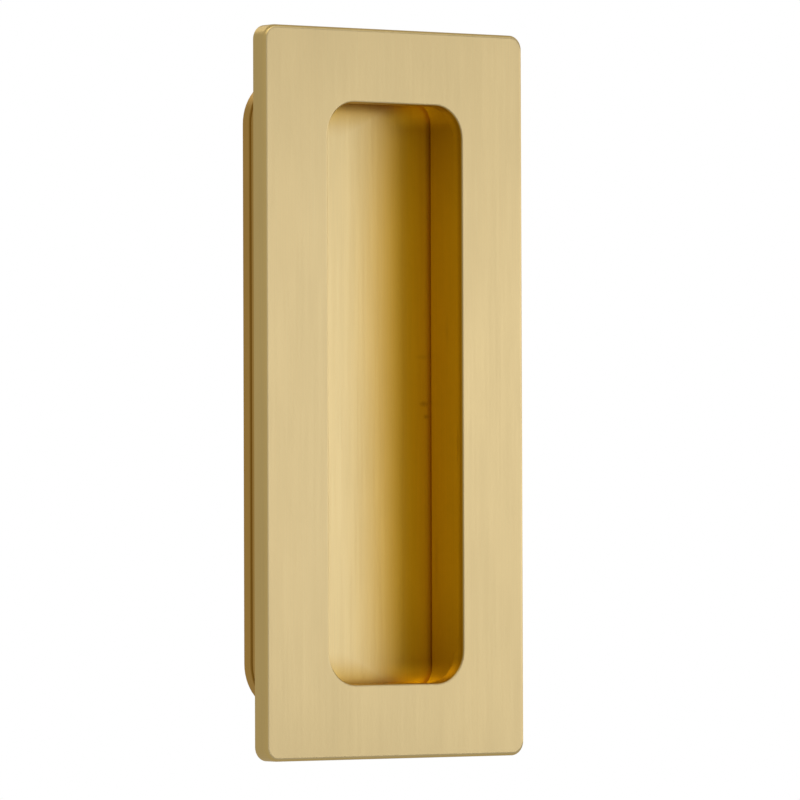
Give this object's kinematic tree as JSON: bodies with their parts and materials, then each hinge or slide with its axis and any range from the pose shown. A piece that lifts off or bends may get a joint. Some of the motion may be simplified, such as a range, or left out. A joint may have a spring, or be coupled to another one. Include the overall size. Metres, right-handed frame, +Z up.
{
  "type": "flush pull",
  "caption": "Rectangular flush pull for a sliding door: a flat face plate with a tall rounded finger opening, and behind it a shallow recess whose floor is a flat closing plate.",
  "frame": {"origin": "middle of the plate's back, in the plane of the door's surface", "axes": "+Z up along the plate's height, +Y into the door, +X to the right as seen from the front"},
  "size_m": [0.0446, 0.01, 0.1016],
  "materials": {
    "brushed_brass": "satin, brushed along the height",
    "back_brass": "satin, brushed along the height"
  },
  "bodies": {
    "root": {"face_frame": "brushed_brass", "back_plate": "back_brass"}
  },
  "joints": []
}
